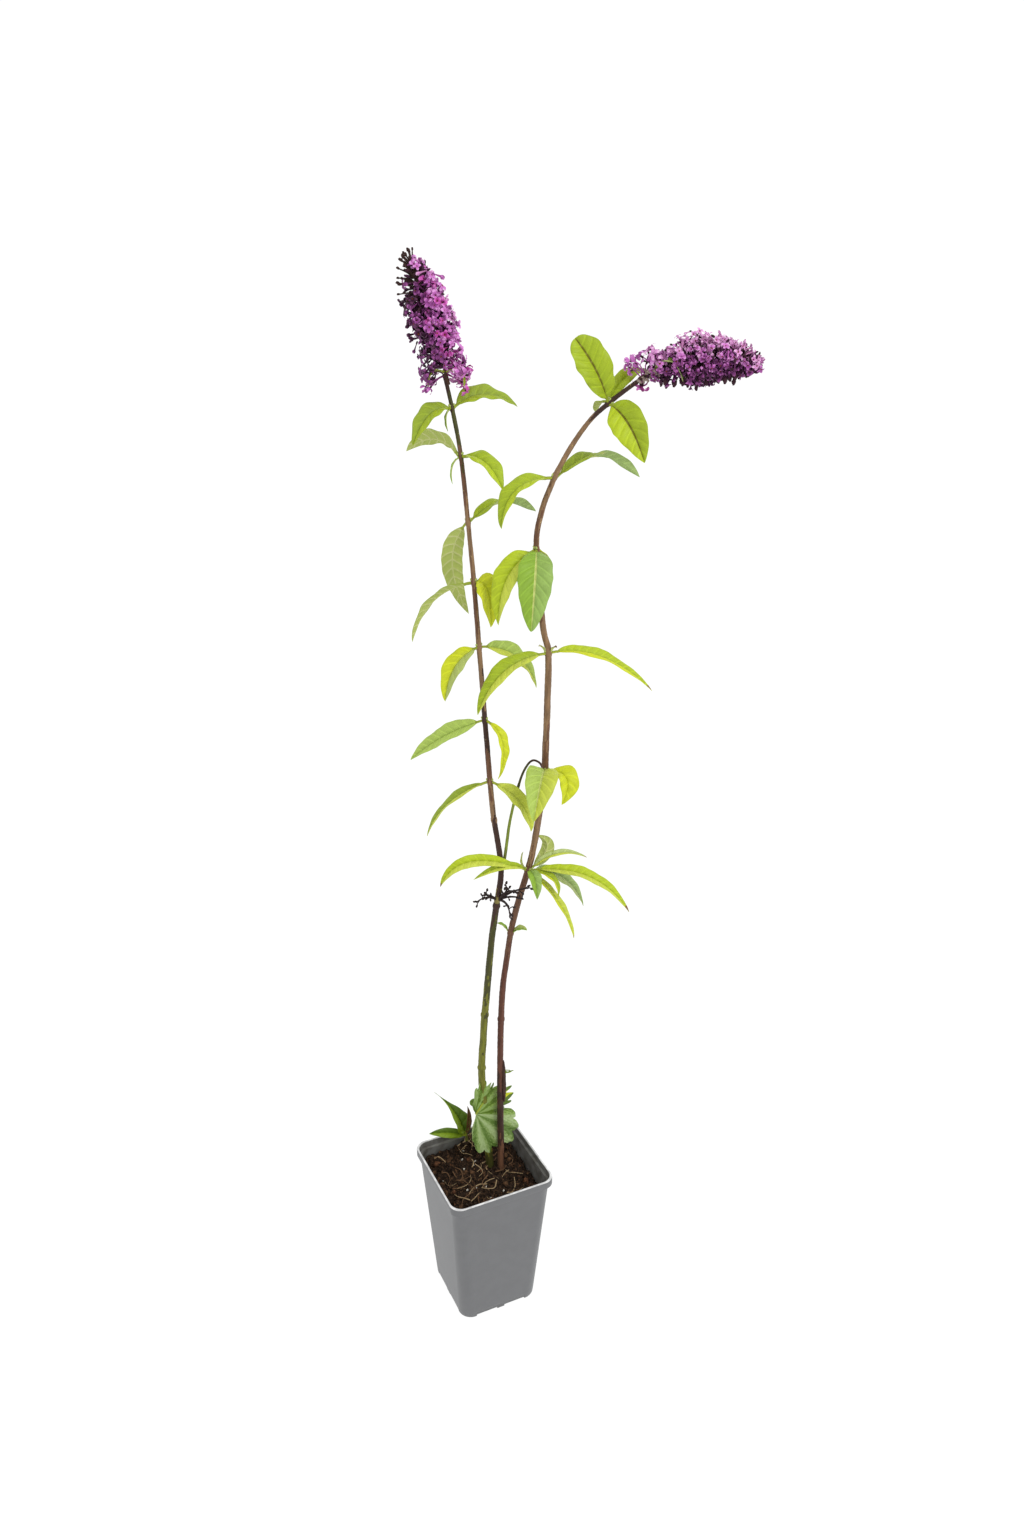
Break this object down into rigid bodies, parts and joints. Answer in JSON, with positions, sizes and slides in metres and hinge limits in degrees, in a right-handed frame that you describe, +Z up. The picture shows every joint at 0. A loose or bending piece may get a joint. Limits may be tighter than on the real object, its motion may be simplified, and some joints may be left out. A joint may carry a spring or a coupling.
{
  "type": "potted butterfly bush",
  "caption": "Young butterfly bush with slender stems, paired lime leaves and purple flower spikes, in a square plastic nursery pot",
  "frame": {"origin": "centre of the pot's flat underside, on the ground", "axes": "+Z up along the stems; X and Y along the pot's sides; the picture looks along +Y turned 25 degrees towards +X"},
  "size_m": [0.1856, 0.1685, 0.8164],
  "materials": {
    "pot_plastic": "grey injection-moulded plastic, satin, with fine scuffs",
    "soil": "dark peat mix with fibres, bark bits and white perlite",
    "brown_bark": "thin ridged brown bark, matte",
    "green_bark": "young olive green bark, faintly downy",
    "dead_bark": "dead dark brown wood, rough",
    "leaf": "lime green leaf with a quilted vein pattern, paler and felted beneath",
    "felted_leaf": "soft grey-green downy leaf with a scalloped edge",
    "flower": "violet to magenta four-lobed florets, dark calyces",
    "dead_twig": "dry brown twigs of a spent flower spike"
  },
  "bodies": {
    "root": {"pot": "pot_plastic", "soil": "soil", "left_stem": "green_bark", "left_leader": "brown_bark", "right_stem_lower": "brown_bark", "right_stem_middle": "brown_bark", "right_stem_upper": "brown_bark", "right_stem_arch": "brown_bark", "green_shoot": "green_bark", "snag_stub": "dead_bark", "left_leaves_1": "leaf", "left_leaves_2": "leaf", "left_leaves_3": "leaf", "left_leaves_4": "leaf", "left_leaves_5": "leaf", "left_leaves_6": "leaf", "left_leaves_7": "leaf", "right_leaves_1": "leaf", "right_leaves_2": "leaf", "right_leaves_3": "leaf", "right_leaves_4": "leaf", "right_leaves_5": "leaf", "right_leaves_6": "leaf", "right_leaves_7": "leaf", "basal_leaves_front": "felted_leaf", "basal_leaves_left": "felted_leaf", "left_flower_spike": "flower", "right_flower_spike": "flower", "spent_flower_spike": "dead_twig"}
  },
  "joints": []
}
